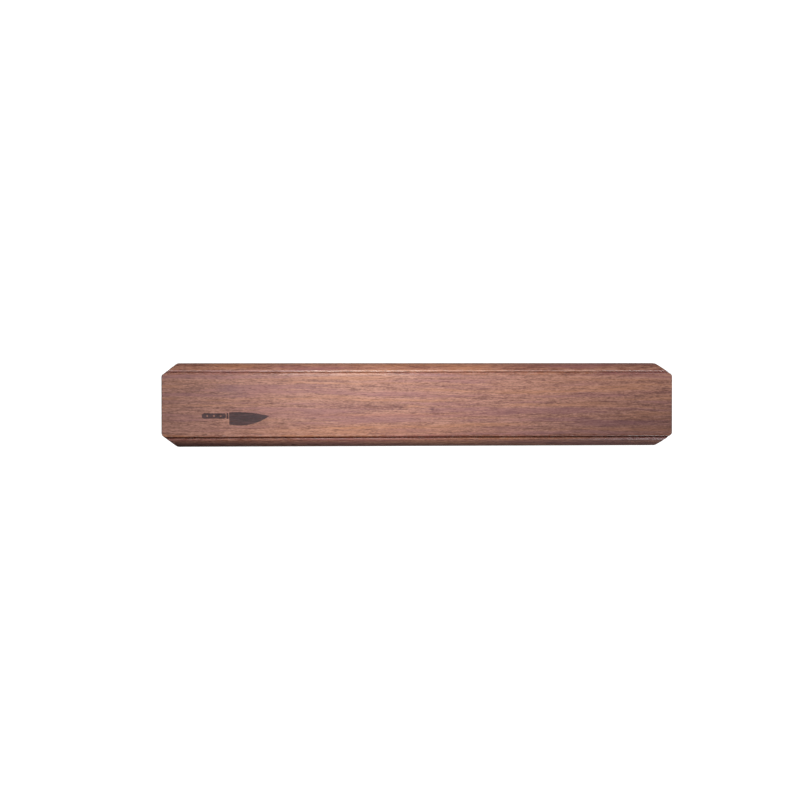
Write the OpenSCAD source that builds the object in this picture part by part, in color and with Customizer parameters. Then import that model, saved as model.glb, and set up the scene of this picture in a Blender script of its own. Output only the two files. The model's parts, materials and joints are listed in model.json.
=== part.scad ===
// Magnetic knife bar for a wall: a walnut bar with two rows of block magnets behind its face.
// Millimetres. +X runs along the bar, +Z is up and the face that holds the knives looks along -Y.
// The origin is the centre of the plane that touches the wall.

/* [Bar] */
// Length of the bar
bar_l = 400; // [380:1:600]
// Height of the bar
bar_h = 65; // [63:0.5:100]
// Thickness of the wooden bar, without the pads behind it
bar_d = 19; // [15:0.5:30]
// Length of each corner cut, along the bar
corner_l = 12.5; // [4:0.5:16]
// Height of each corner cut
corner_h = 9.3; // [4:0.1:16]

/* [Moulded edges] */
// Width of the moulding along the two long front edges, from the crest of its bead to the bar's edge
round_w = 6.6; // [4:0.1:8.6]
// Radius of the bead at the moulding's crest
bead_r = 2.8; // [1.5:0.1:4]
// Slope at which the bead runs into the moulding's wide flank
flank_angle = 40; // [30:1:48]
// How far the crest lies below the face
crest_drop = 0.2; // [0.1:0.05:0.5]
// Width of the groove between the bead and the face
groove_w = 1.2; // [1.2:0.1:3]
// Width of the groove's steep side, next to the bead
quirk_w = 0.5; // [0.3:0.1:1]
// Depth of the groove
groove_d = 1.2; // [0.6:0.1:1.8]

/* [Magnets] */
// Magnets in each row
magnet_count = 12; // [4:1:16]
// Length of a magnet, along the bar
magnet_l = 20; // [10:0.5:28]
// Height of a magnet
magnet_h = 10; // [6:0.5:11]
// Thickness of a magnet
magnet_t = 5; // [2:0.5:10]
// Thickness of the steel strip behind each row
yoke_t = 2; // [0.5:0.5:6]
// Wood left between the magnets and the face
skin_t = 2.5; // [1.5:0.1:4]
// Distance from the bar's end to the end of each row
row_margin = 25; // [21:1:60]

/* [Back panel] */
// Thickness of the back panel
panel_t = 4; // [3:0.5:9]
// Width of the bar's rim above and below the panel
rim_w = 5.5; // [3:0.5:6.5]
// Distance from the bar's end to the panel's end
rim_end = 14; // [10:0.5:19]
// Radius of the panel's corners
panel_r = 6; // [2:0.5:8]
// Width of the ledge that the panel's long edges lie on
ledge_w = 6.3; // [5.5:0.1:7.5]
// Distance from the panel's long edges to its screws
screw_inset = 3.6; // [2.6:0.1:4.2]
// Distance from the panel's ends to its last screws
screw_margin = 10; // [6:0.5:30]

/* [Hangers] */
// Distance between the two keyholes
keyhole_spacing = 220; // [90:1:240]
// Radius of a keyhole's round entry
entry_r = 4.5; // [3.2:0.1:5.5]
// Width of a keyhole's narrow slot
slot_w = 4.6; // [3:0.1:6]
// Rise from the centre of the entry to the seat at the top of the slot
seat_rise = 6.5; // [4:0.1:8]
// Thickness of a keyhole plate
plate_t = 2; // [1:0.5:2.5]
// Length of a keyhole plate
plate_l = 40; // [34:1:60]
// Height of a keyhole plate
plate_h = 19; // [18:0.5:36]
// Radius of a keyhole plate's corners
plate_r = 3; // [1:0.5:8]
// Room behind a keyhole plate for the wall screw's head
head_room = 6; // [4:0.5:12]

/* [Screws] */
// Shank radius of the panel's screws
panel_screw_r = 1.25; // [1:0.05:1.4]
// Length of the panel's screws
panel_screw_l = 12; // [8:0.5:14]
// Shank radius of the keyhole plates' screws
plate_screw_r = 1.4; // [1:0.1:1.8]
// Length of the keyhole plates' screws
plate_screw_l = 9; // [6:0.5:14]
// Head radius as a multiple of the shank radius
head_ratio = 1.85; // [1.6:0.05:2.1]

/* [Pads] */
// Thickness of a foam pad
pad_t = 1; // [0.5:0.1:3]
// Length of a foam pad, along the bar
pad_l = 34; // [20:1:44]
// Height of a foam pad
pad_h = 36; // [20:1:42]
// Radius of a foam pad's corners
pad_r = 4; // [1:0.5:8]
// Distance from the bar's end to an end pad
pad_margin = 24; // [14:1:34]

/* [Clearances] */
// Between a magnet or strip and its slot in the wood, on each side
slot_gap = 0.2; // [0.1:0.05:0.5]
// Left for glue between the magnets and the wooden face
glue_gap = 0.1; // [0.05:0.05:0.3]
// Between the back panel and the bar's rim, on each side
panel_gap = 0.15; // [0.05:0.05:0.4]
// Between a keyhole plate and its recess, on each side
plate_gap = 0.1; // [0.05:0.05:0.3]
// Between a screw and its hole, on the radius
screw_gap = 0.05; // [0.05:0.05:0.2]
// Between the wall screw's head and the room for it, on the radius
head_gap = 0.25; // [0.1:0.05:0.6]

/* [Hidden] */
$fn = 48;
sides = [-1, 1];
// Overrun of a cut past the surface that it opens
cut = 1;

// Everything is laid out from the bar's back face: x along the bar, y up and z into the wood.
panel_l = bar_l - 2 * rim_end;
panel_h = bar_h - 2 * rim_w;

// The two rows, and the stack in each slot from the panel's rib to the wooden face
row_l = bar_l - 2 * row_margin;
pitch = (row_l - magnet_l) / (magnet_count - 1);
milled_h = magnet_h + 2 * slot_gap;
row_y = panel_h / 2 - ledge_w - milled_h / 2;
slot_depth = bar_d - skin_t;
yoke_top = slot_depth - glue_gap - magnet_t;
yoke_bottom = yoke_top - yoke_t;

// The keyholes, with the entry below and the seat above the middle of the bar
keyhole_x = keyhole_spacing / 2;
entry_y = -seat_rise / 2;
room_r = entry_r + head_gap;
room_depth = plate_t + head_room;

// Screws and pads
plate_screw_x = (plate_l / 2 + room_r) / 2;
panel_screw_y = panel_h / 2 - screw_inset;
panel_screw_x = panel_l / 2 - screw_margin;
panel_screw_xs = [-1, -1 / 3, 1 / 3, 1] * panel_screw_x;
end_pad_x = bar_l / 2 - pad_margin - pad_l / 2;

// The moulding: its bead runs into a flank whose radius brings it upright at the bar's edge
flank_r = (round_w - bead_r * sin(flank_angle)) / (1 - sin(flank_angle));
bead_x = bar_h / 2 - round_w;
bead_y = bar_d - crest_drop - bead_r;
flank_x = bar_h / 2 - flank_r;
flank_y = bead_y - (flank_r - bead_r) * cos(flank_angle);

// The cross recess of a screw
recess_w = 0.6;
recess_depth = 0.8;
recess_reach = 1.3;
point_r = 0.2;

WALNUT = "#8c6152";
PANEL_WALNUT = "#7d5545";
NICKEL = "#c4c3bd";
STEEL = "#9a9c9e";
ZINC = "#c9c8c2";
BRASS = "#b9975a";
FOAM = "#3a3a3c";

// Turns the back-face layout into the object's own axes and sets it off the wall by the pads.
module from_back() {
    translate([0, -pad_t, 0]) rotate([90, 0, 0]) children();
}

// A flat plate with round corners, standing on z = 0.
module rounded_plate(l, h, r, t) {
    translate([r - l / 2, -h / 2, 0]) cube([l - 2 * r, h, t]);
    translate([-l / 2, r - h / 2, 0]) cube([l, h - 2 * r, t]);
    for (sx = sides, sy = sides)
        translate([sx * (l / 2 - r), sy * (h / 2 - r), 0]) cylinder(r = r, h = t);
}

// A slot milled with a round cutter, whose straight part is l long.
module milled_slot(l, w, depth) {
    translate([-l / 2, -w / 2, 0]) cube([l, w, depth]);
    for (s = sides)
        translate([s * l / 2, 0, 0]) cylinder(d = w, h = depth);
}

// A countersunk wood screw with its head flush at z = 0 and its point at z = l.
module wood_screw(r, l) {
    head_r = r * head_ratio;
    tip_h = 2 * r;
    difference() {
        union() {
            cylinder(r1 = head_r, r2 = r, h = head_r - r);
            cylinder(r = r, h = l - tip_h);
            translate([0, 0, l - tip_h]) cylinder(r1 = r, r2 = point_r, h = tip_h);
        }
        for (a = [0, 90])
            rotate([0, 0, a])
                translate([-recess_reach, -recess_w / 2, -cut])
                    cube([2 * recess_reach, recess_w, cut + recess_depth]);
    }
}

// The hole for such a screw, open at z = 0.
module screw_hole(r, l) {
    head_r = r * head_ratio + screw_gap;
    translate([0, 0, -cut]) cylinder(r = head_r, h = cut);
    cylinder(r1 = head_r, r2 = r + screw_gap, h = r * (head_ratio - 1));
    cylinder(r = r + screw_gap, h = l + screw_gap);
}

// A keyhole: a round entry below and a narrow slot that rises from it to the seat.
module keyhole(depth) {
    translate([0, entry_y, 0]) cylinder(r = entry_r, h = depth);
    translate([-slot_w / 2, entry_y, 0]) cube([slot_w, seat_rise, depth]);
    translate([0, -entry_y, 0]) cylinder(d = slot_w, h = depth);
}

// The room for a wall screw's head, behind the plate and all along the keyhole.
module head_pocket() {
    translate([-room_r, entry_y, 0]) cube([2 * room_r, seat_rise, room_depth]);
    for (s = sides)
        translate([0, s * entry_y, 0]) cylinder(r = room_r, h = room_depth);
}

module at_rows() {
    for (s = sides)
        translate([0, s * row_y, 0]) children();
}

module at_keyholes() {
    for (s = sides)
        translate([s * keyhole_x, 0, 0]) children();
}

module at_plate_screws() {
    for (s = sides)
        translate([s * plate_screw_x, 0, 0]) children();
}

module at_panel_screws() {
    for (x = panel_screw_xs, s = sides)
        translate([x, s * panel_screw_y, 0]) children();
}

// What the moulding cutter takes off one long edge, x up the bar and y from its back to its face.
module moulding_cut() {
    difference() {
        translate([bead_x, flank_y]) square([round_w + cut, bar_d]);
        translate([bead_x, bead_y]) circle(r = bead_r);
        intersection() {
            translate([flank_x, flank_y]) circle(r = flank_r);
            polygon([
                [flank_x, flank_y],
                [flank_x, flank_y - cut],
                [flank_x + 2 * flank_r, flank_y - cut],
                [flank_x + 2 * flank_r * sin(flank_angle), flank_y + 2 * flank_r * cos(flank_angle)]
            ]);
        }
    }
    translate([bead_x, bar_d])
        polygon([
            [-groove_w, cut],
            [-groove_w, 0],
            [-quirk_w, -groove_d],
            [0, -crest_drop],
            [cut, -crest_drop],
            [cut, cut]
        ]);
}

module bar_section() {
    difference() {
        translate([-bar_h / 2, 0]) square([bar_h, bar_d]);
        moulding_cut();
        mirror([1, 0]) moulding_cut();
    }
}

// The bar's outline from the front, with its four corners cut off.
module bar_outline() {
    end_x = bar_l / 2;
    top_y = bar_h / 2;
    polygon([
        [-end_x, corner_h - top_y],
        [corner_l - end_x, -top_y],
        [end_x - corner_l, -top_y],
        [end_x, corner_h - top_y],
        [end_x, top_y - corner_h],
        [end_x - corner_l, top_y],
        [corner_l - end_x, top_y],
        [-end_x, top_y - corner_h]
    ]);
}

module front_bar() {
    color(WALNUT) from_back() difference() {
        intersection() {
            translate([-bar_l / 2, 0, 0])
                rotate([90, 0, 90]) linear_extrude(bar_l) bar_section();
            linear_extrude(bar_d) bar_outline();
        }
        translate([0, 0, -cut]) rounded_plate(panel_l, panel_h, panel_r, cut + panel_t);
        at_rows() milled_slot(row_l + 2 * slot_gap, milled_h, slot_depth);
        at_keyholes() {
            head_pocket();
            at_plate_screws() screw_hole(plate_screw_r, plate_screw_l);
        }
        at_panel_screws() screw_hole(panel_screw_r, panel_screw_l);
    }
}

module back_panel() {
    color(PANEL_WALNUT) from_back() difference() {
        union() {
            rounded_plate(panel_l - 2 * panel_gap, panel_h - 2 * panel_gap, panel_r - panel_gap, panel_t);
            at_rows() translate([-row_l / 2, -magnet_h / 2, 0]) cube([row_l, magnet_h, yoke_bottom]);
        }
        at_keyholes() {
            translate([0, 0, -cut])
                rounded_plate(plate_l + 2 * plate_gap, plate_h + 2 * plate_gap, plate_r, cut + plate_t);
            head_pocket();
            at_plate_screws() screw_hole(plate_screw_r, plate_screw_l);
        }
        at_panel_screws() screw_hole(panel_screw_r, panel_screw_l);
    }
}

// side is -1 for the lower row and 1 for the upper one.
module yoke(side) {
    color(STEEL) from_back()
        translate([-row_l / 2, side * row_y - magnet_h / 2, yoke_bottom]) cube([row_l, magnet_h, yoke_t]);
}

// Magnets are numbered from the left.
module magnet(side, i) {
    color(NICKEL) from_back()
        translate([(i - 1) * pitch - row_l / 2, side * row_y - magnet_h / 2, yoke_top])
            cube([magnet_l, magnet_h, magnet_t]);
}

module keyhole_plate(side) {
    color(ZINC) from_back() translate([side * keyhole_x, 0, 0]) difference() {
        rounded_plate(plate_l, plate_h, plate_r - plate_gap, plate_t);
        translate([0, 0, -cut]) keyhole(plate_t + 2 * cut);
        at_plate_screws() screw_hole(plate_screw_r, plate_screw_l);
    }
}

module panel_screws() {
    color(BRASS) from_back() at_panel_screws() wood_screw(panel_screw_r, panel_screw_l);
}

module plate_screws() {
    color(ZINC) from_back() at_keyholes() at_plate_screws() wood_screw(plate_screw_r, plate_screw_l);
}

module foam_pad(x) {
    color(FOAM) from_back() translate([x, 0, -pad_t]) rounded_plate(pad_l, pad_h, pad_r, pad_t);
}

front_bar();
back_panel();
yoke(1);  // yoke_upper
yoke(-1);  // yoke_lower
keyhole_plate(-1);  // keyhole_plate_left
keyhole_plate(1);  // keyhole_plate_right
panel_screws();
plate_screws();
foam_pad(-end_pad_x);  // foam_pad_left
foam_pad(0);  // foam_pad_middle
foam_pad(end_pad_x);  // foam_pad_right
for (i = [1 : magnet_count])
    magnet(1, i);
for (i = [1 : magnet_count])
    magnet(-1, i);
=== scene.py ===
"""The looks of a wall-mounted magnetic knife bar in walnut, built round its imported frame."""

import json
import logging
import math
from collections.abc import Callable, Sequence
from dataclasses import dataclass, field
from enum import Enum

import bmesh
import bpy
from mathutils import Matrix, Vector


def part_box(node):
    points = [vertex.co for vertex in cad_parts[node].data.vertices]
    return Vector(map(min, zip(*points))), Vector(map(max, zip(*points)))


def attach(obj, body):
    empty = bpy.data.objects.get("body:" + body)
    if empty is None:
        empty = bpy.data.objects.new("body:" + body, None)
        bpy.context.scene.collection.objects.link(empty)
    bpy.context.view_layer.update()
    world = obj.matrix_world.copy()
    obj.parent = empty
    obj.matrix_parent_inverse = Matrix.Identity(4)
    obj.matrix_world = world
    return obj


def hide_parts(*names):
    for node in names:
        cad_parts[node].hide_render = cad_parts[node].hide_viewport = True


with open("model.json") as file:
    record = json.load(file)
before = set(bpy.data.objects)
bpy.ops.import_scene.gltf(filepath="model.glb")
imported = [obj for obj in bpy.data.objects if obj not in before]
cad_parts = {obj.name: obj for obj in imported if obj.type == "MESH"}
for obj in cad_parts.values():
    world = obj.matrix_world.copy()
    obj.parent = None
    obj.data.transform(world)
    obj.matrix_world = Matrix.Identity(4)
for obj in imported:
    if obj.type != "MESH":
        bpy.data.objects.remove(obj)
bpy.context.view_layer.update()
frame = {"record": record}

logging.basicConfig(level=logging.INFO, format="%(name)s: %(message)s")
log = logging.getLogger("knife_bar")

Colour = tuple[float, float, float]
Place = tuple[float, float, float]
Piece = bpy.types.Object
Socket = bpy.types.NodeSocket

MM = 0.001
BODY = "root"
OVERRUN = 1 * MM  # how far a cutter runs past a surface
CLOSE = 0.01 * MM  # nearer than this is the same place


class Choice(Enum):
    """A choice whose name is also a word in the names of nodes."""

    @property
    def word(self) -> str:
        """Gives the word."""
        return self.name.lower()


class Side(Choice):
    """The two ends of the bar, as the sign of their X."""

    LEFT = -1
    RIGHT = 1


class Row(Choice):
    """The two rows of magnets, as the sign of their Z."""

    LOWER = -1
    UPPER = 1


class Cut(Enum):
    """What a cutter does to the piece it meets."""

    AWAY = "DIFFERENCE"
    JOIN = "UNION"
    COMMON = "INTERSECT"


@dataclass(frozen=True)
class Box:
    """The box of a CAD node, from its lowest corner to its highest."""

    low: Place
    high: Place

    @classmethod
    def of(cls, node: str) -> "Box":
        """Reads the box of a CAD node."""
        return cls(*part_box(node))

    @property
    def size(self) -> Place:
        """Gives its size along each axis."""
        return tuple(b - a for a, b in zip(self.low, self.high, strict=True))

    @property
    def middle(self) -> Place:
        """Gives its middle."""
        return tuple((a + b) / 2 for a, b in zip(self.low, self.high, strict=True))


# ---------------------------------------------------------------- bench tools


def deselect() -> None:
    """Leaves edit mode and selects nothing."""
    if bpy.context.object and bpy.context.object.mode != "OBJECT":
        bpy.ops.object.mode_set(mode="OBJECT")
    bpy.ops.object.select_all(action="DESELECT")


def take(piece: Piece) -> None:
    """Makes a piece the only selected and active one.

    Args:
        piece: The object to work on.
    """
    deselect()
    piece.select_set(True)
    bpy.context.view_layer.objects.active = piece


def settle(piece: Piece) -> None:
    """Puts a piece's turn, scale and place into its mesh.

    Args:
        piece: The object to settle at the origin.
    """
    take(piece)
    bpy.ops.object.transform_apply(location=True, rotation=True, scale=True)


def choose(piece: Piece, mode: str, wanted: Callable[..., bool] | None = None) -> int:
    """Opens a piece in edit mode with only the wanted elements selected.

    Args:
        piece: The object to open.
        mode: VERT, EDGE or FACE.
        wanted: Says of a bmesh vertex, edge or face whether it is selected; None selects all.

    Returns:
        The number of elements selected.
    """
    take(piece)
    bpy.ops.object.mode_set(mode="EDIT")
    bpy.ops.mesh.select_mode(type=mode)
    bpy.ops.mesh.select_all(action="DESELECT")
    mesh = bmesh.from_edit_mesh(piece.data)
    elements = {"VERT": mesh.verts, "EDGE": mesh.edges, "FACE": mesh.faces}[mode]
    picked = [element for element in elements if wanted is None or wanted(element)]
    for element in picked:
        element.select_set(True)
    mesh.select_flush_mode()
    bmesh.update_edit_mesh(piece.data)
    return len(picked)


def close_edit() -> None:
    """Returns to object mode."""
    bpy.ops.object.mode_set(mode="OBJECT")


def extrude(x: float, y: float, z: float) -> None:
    """Extrudes the selected faces or edges by a distance along each axis."""
    bpy.ops.mesh.extrude_region_move(TRANSFORM_OT_translate={"value": (x, y, z)})


def round_off(width: float, segments: int, what: str = "EDGES", clamp: bool = False) -> None:
    """Rounds the selected edges or vertices.

    Args:
        width: Width of the rounding.
        segments: Segments across it.
        what: EDGES or VERTICES.
        clamp: Stops roundings from running into each other.
    """
    bpy.ops.mesh.bevel(offset=width, segments=segments, profile=0.5, affect=what, clamp_overlap=clamp)


def modify(piece: Piece, kind: str, **settings: object) -> None:
    """Adds a modifier to a piece and applies it.

    Args:
        piece: The piece to modify.
        kind: Blender's name for the modifier.
        settings: The modifier's properties.
    """
    take(piece)
    modifier = piece.modifiers.new(kind.lower(), kind)
    for key, value in settings.items():
        setattr(modifier, key, value)
    bpy.ops.object.modifier_apply(modifier=modifier.name)


def face_out(piece: Piece) -> None:
    """Merges doubles and turns every face outwards.

    Args:
        piece: The closed piece to tidy.
    """
    choose(piece, "FACE")
    bpy.ops.mesh.remove_doubles(threshold=CLOSE / 10)
    bpy.ops.mesh.normals_make_consistent(inside=False)
    close_edit()


def block(name: str, low: Sequence[float], high: Sequence[float]) -> Piece:
    """Adds a block between two corners.

    Args:
        name: The object's name.
        low: Its lowest corner, in metres.
        high: Its highest corner, in metres.

    Returns:
        The block, settled at the origin.
    """
    deselect()
    centre = [(a + b) / 2 for a, b in zip(low, high, strict=True)]
    bpy.ops.mesh.primitive_cube_add(size=1, location=centre)
    piece = bpy.context.object
    piece.name = name
    piece.scale = [b - a for a, b in zip(low, high, strict=True)]
    settle(piece)
    return piece


def rod(name: str, centre: Place, radius: float, near: float, far: float, top: float | None = None,
        sides: int = 48) -> Piece:
    """Adds a round rod or cone along Y.

    Args:
        name: The object's name.
        centre: A point on its axis; its Y is not used.
        radius: Radius at the near end.
        near: Y of the end that is nearer to the knife face.
        far: Y of the other end.
        top: Radius at the far end, or None for a straight rod.
        sides: Sides round the rod.

    Returns:
        The rod, settled at the origin.
    """
    deselect()
    bpy.ops.mesh.primitive_cone_add(
        vertices=sides,
        radius1=radius,
        radius2=radius if top is None else top,
        depth=far - near,
        location=(centre[0], (near + far) / 2, centre[2]),
        rotation=(-math.pi / 2, 0, 0),
    )
    piece = bpy.context.object
    piece.name = name
    settle(piece)
    face_out(piece)
    return piece


def outline_plate(name: str, centre: Place, length: float, height: float, near: float, far: float,
                  radius: float = 0.0, segments: int = 8) -> Piece:
    """Adds a flat plate parallel to the wall, with round corners.

    Args:
        name: The object's name.
        centre: The middle of the plate; its Y is not used.
        length: Size along X.
        height: Size along Z.
        near: Y of the side nearer to the knife face.
        far: Y of the side nearer to the wall.
        radius: Radius of the corners.
        segments: Segments in each round corner.

    Returns:
        The plate, settled at the origin.
    """
    deselect()
    facing = (math.pi / 2, 0, 0)
    bpy.ops.mesh.primitive_plane_add(size=1, location=(centre[0], near, centre[2]), rotation=facing)
    piece = bpy.context.object
    piece.name = name
    piece.scale = (length, height, 1)
    settle(piece)
    if radius:
        choose(piece, "VERT")
        round_off(radius, segments, "VERTICES")
    choose(piece, "FACE")
    extrude(0, far - near, 0)
    close_edit()
    face_out(piece)
    return piece


def shape(piece: Piece, cutters: Sequence[Piece], cut: Cut) -> None:
    """Cuts, joins or intersects a piece with cutters, which are used up.

    Args:
        piece: The piece to shape.
        cutters: Closed solids.
        cut: What the cutters do.
    """
    for cutter in cutters:
        modify(piece, "BOOLEAN", operation=cut.value, solver="EXACT", object=cutter)
        bpy.data.meshes.remove(cutter.data)


def ease(piece: Piece, width: float, segments: int = 2, angle: float = 40) -> None:
    """Rounds every edge that is sharper than an angle.

    Args:
        piece: The piece to ease.
        width: Width of the rounding.
        segments: Segments across it.
        angle: Least angle between two faces, in degrees.
    """
    modify(piece, "BEVEL", width=width, segments=segments, limit_method="ANGLE",
           angle_limit=math.radians(angle), use_clamp_overlap=True, miter_outer="MITER_ARC")


def polish(piece: Piece, angle: float = 35) -> None:
    """Shades a piece smooth up to an angle, with flat faces kept flat.

    Args:
        piece: The piece to shade.
        angle: Greatest angle that is smoothed over, in degrees.
    """
    take(piece)
    bpy.ops.object.shade_smooth_by_angle(angle=math.radians(angle))
    modify(piece, "WEIGHTED_NORMAL", mode="FACE_AREA", weight=80, keep_sharp=True)


def duplicate(piece: Piece, name: str, move: Place) -> Piece:
    """Copies a piece, mesh and all, to another place.

    Args:
        piece: The piece to copy.
        name: The copy's name.
        move: How far the copy lies from the piece, in metres.

    Returns:
        The copy, settled at the origin.
    """
    take(piece)
    bpy.ops.object.duplicate(linked=False)
    copy = bpy.context.object
    copy.name = name
    copy.location = move
    settle(copy)
    return copy


def hand_over(piece: Piece, slot: str, *nodes: str) -> None:
    """Fixes a finished piece to the body and says what it stands for.

    Args:
        piece: The finished piece.
        slot: The record's material slot; not used.
        nodes: The CAD nodes that it replaces.
    """
    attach(piece, BODY)
    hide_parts(*nodes)
    log.info("%s: %d faces, for %s", piece.name, len(piece.data.polygons), ", ".join(nodes))


# ------------------------------------------------------------- shader sheets


class Sheet:
    """A node tree that is written top down, one node at a time."""

    def __init__(self, tree: bpy.types.NodeTree) -> None:
        """Empties a node tree and takes it over.

        Args:
            tree: The material's or group's node tree.
        """
        self.tree = tree
        tree.nodes.clear()

    def node(self, kind: str, links: dict | None = None, **settings: object) -> bpy.types.Node:
        """Adds a node.

        Args:
            kind: Blender's type name; the ShaderNode prefix is left out.
            links: Input name or index, to a socket that feeds it or a value that it holds.
            settings: Properties of the node.

        Returns:
            The node.
        """
        made = self.tree.nodes.new(kind if kind.startswith("NodeGroup") else f"ShaderNode{kind}")
        for key, value in settings.items():
            setattr(made, key, value)
        for key, source in (links or {}).items():
            if isinstance(source, Socket):
                self.tree.links.new(source, made.inputs[key])
            else:
                made.inputs[key].default_value = source
        return made

    def maths(self, operation: str, *values: object) -> Socket:
        """Adds a Math node.

        Args:
            operation: Blender's name for the operation.
            values: Its inputs, as sockets or numbers.

        Returns:
            Its output.
        """
        return self.node("Math", dict(enumerate(values)), operation=operation).outputs[0]

    def ramp(self, value: Socket, low: float, high: float, out_low: float = 0.0,
             out_high: float = 1.0) -> Socket:
        """Maps a value smoothly from one range to another.

        Args:
            value: The socket to map.
            low: Where the ramp starts.
            high: Where it ends.
            out_low: What it gives at the start.
            out_high: What it gives at the end.

        Returns:
            The mapped value.
        """
        links = {0: value, 1: low, 2: high, 3: out_low, 4: out_high}
        return self.node("MapRange", links, interpolation_type="SMOOTHSTEP").outputs[0]

    def blend(self, amount: object, first: object, second: object, kind: str = "MIX") -> Socket:
        """Mixes two colours.

        Args:
            amount: How much of the second shows.
            first: A colour or a socket.
            second: A colour or a socket.
            kind: Blender's name for the way they mix.

        Returns:
            The mixed colour.
        """
        colours = [c if isinstance(c, Socket) else (*c, 1.0) for c in (first, second)]
        links = {0: amount, 6: colours[0], 7: colours[1]}
        return self.node("Mix", links, data_type="RGBA", blend_type=kind).outputs[2]

    def noise(self, vector: Socket, lengths: Place, detail: float = 2.0, roughness: float = 0.5,
              distortion: float = 0.0) -> Socket:
        """Adds a three-dimensional noise.

        Args:
            vector: Where it is read, in millimetres.
            lengths: How long its features are along each axis, in millimetres.
            detail: Octaves of detail.
            roughness: How strong each octave is against the one before.
            distortion: How far it is warped.

        Returns:
            The noise's value.
        """
        links = {"Vector": self.stretched(vector, lengths), "Scale": 1.0, "Detail": detail}
        texture = {"Roughness": roughness, "Distortion": distortion}
        return self.node("TexNoise", links | texture).outputs[0]

    def stretched(self, vector: Socket, lengths: Place) -> Socket:
        """Scales a vector so that a pattern of scale 1 has features of these lengths."""
        factors = tuple(1 / length for length in lengths)
        return self.node("VectorMath", {0: vector, 1: factors}, operation="MULTIPLY").outputs[0]

    def in_millimetres(self) -> Socket:
        """Gives the piece's own coordinates, in millimetres."""
        links = {"Vector": self.node("TexCoord").outputs["Object"], "Scale": (1 / MM, 1 / MM, 1 / MM)}
        return self.node("Mapping", links).outputs[0]

    def surface(self, colour: Socket, gloss: Socket, relief: Socket, depth: float, **held: float) -> None:
        """Puts a bumped surface out.

        Args:
            colour: Its base colour.
            gloss: Its roughness.
            relief: The height of its bumps, from 0 to 1.
            depth: How high a bump of height 1 stands, in metres.
            held: Values that the shader holds all over, by their sockets' names with _ for a space.
        """
        bump = self.node("Bump", {"Height": relief, "Distance": depth, "Strength": 1.0}).outputs[0]
        links = {"Base Color": colour, "Roughness": gloss, "Normal": bump}
        constants = {key.replace("_", " "): value for key, value in held.items()}
        shader = self.node("BsdfPrincipled", links | constants)
        self.node("OutputMaterial", {0: shader.outputs[0]})


def new_material(name: str) -> tuple[bpy.types.Material, Sheet]:
    """Makes an empty material.

    Args:
        name: The material's name.

    Returns:
        The material and the sheet of its nodes.
    """
    made = bpy.data.materials.new(name)
    made.use_nodes = True
    return made, Sheet(made.node_tree)


def shader_group(name: str, inputs: dict[str, str], outputs: dict[str, str]) -> bpy.types.NodeTree:
    """Makes an empty shader group with named sockets.

    Args:
        name: The group's name.
        inputs: Input names to socket kinds (Float, Vector or Color).
        outputs: Output names to socket kinds.

    Returns:
        The group.
    """
    group = bpy.data.node_groups.new(name, "ShaderNodeTree")
    for in_out, sockets in (("INPUT", inputs), ("OUTPUT", outputs)):
        for socket, kind in sockets.items():
            group.interface.new_socket(name=socket, in_out=in_out, socket_type=f"NodeSocket{kind}")
    return group


def timber_group() -> bpy.types.NodeTree:
    """Makes the walnut's figure as a solid pattern, so that faces, edges and ends agree.

    Returns:
        A group that gives growth lines, fibre streaks, broad bands, curl and pores.
    """
    outputs = dict.fromkeys(("Growth", "Fibre", "Bands", "Curl", "Pores"), "Float")
    group = shader_group("timber_figure", {"Millimetres": "Vector", "Shift": "Vector"}, outputs)
    sheet = Sheet(group)
    given = sheet.node("NodeGroupInput").outputs
    place = sheet.node("VectorMath", {0: given[0], 1: given[1]}, operation="ADD").outputs[0]
    # The trunk's heart lies far below and behind, so growth rings cross the face as long lines.
    heart_y, heart_z, girth = 95.0, -120.0, 150.0
    along, across, up = sheet.node("SeparateXYZ", {0: place}).outputs
    slow = sheet.noise(place, (150, 60, 40), 1.0)
    wavy = sheet.noise(place, (24, 18, 8), 1.5)
    from_heart_y = sheet.maths("ADD", across, -heart_y)
    from_heart_z = sheet.maths("ADD", up, -heart_z)
    square_y = sheet.maths("MULTIPLY", from_heart_y, from_heart_y)
    square_z = sheet.maths("MULTIPLY", from_heart_z, from_heart_z)
    radius = sheet.maths("SQRT", sheet.maths("ADD", square_y, square_z))
    swung = sheet.maths("MULTIPLY_ADD", slow, 5.0, radius)
    ring = sheet.maths("MULTIPLY_ADD", wavy, 1.3, swung)
    around = sheet.maths("MULTIPLY", sheet.maths("ARCTAN2", from_heart_z, from_heart_y), girth)
    grown = sheet.node("CombineXYZ", {0: along, 1: ring, 2: around}).outputs[0]

    # Lengths of features along the grain, across the rings and round them.
    bands = sheet.noise(grown, (110, 2.8, 12), 2.0, 0.6)
    growth = sheet.noise(grown, (60, 1.1, 5.0), 2.0, 0.55)
    dashes = sheet.noise(grown, (11, 0.75, 1.3), 1.5, 0.6)
    flecks = sheet.noise(grown, (2.2, 0.7, 0.8), 1.0, 0.6)
    vessels = sheet.noise(grown, (4.2, 0.42, 0.5), 0.5)
    fibre = sheet.maths("MULTIPLY_ADD", flecks, 0.45, sheet.maths("MULTIPLY", dashes, 0.55))
    curl = sheet.noise(place, (4.5, 7.0, 11.0), 1.5, 0.5, 0.8)
    pores = sheet.ramp(vessels, 0.62, 0.72)
    sheet.node("NodeGroupOutput", dict(enumerate((growth, fibre, bands, curl, pores))))
    return group


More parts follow.
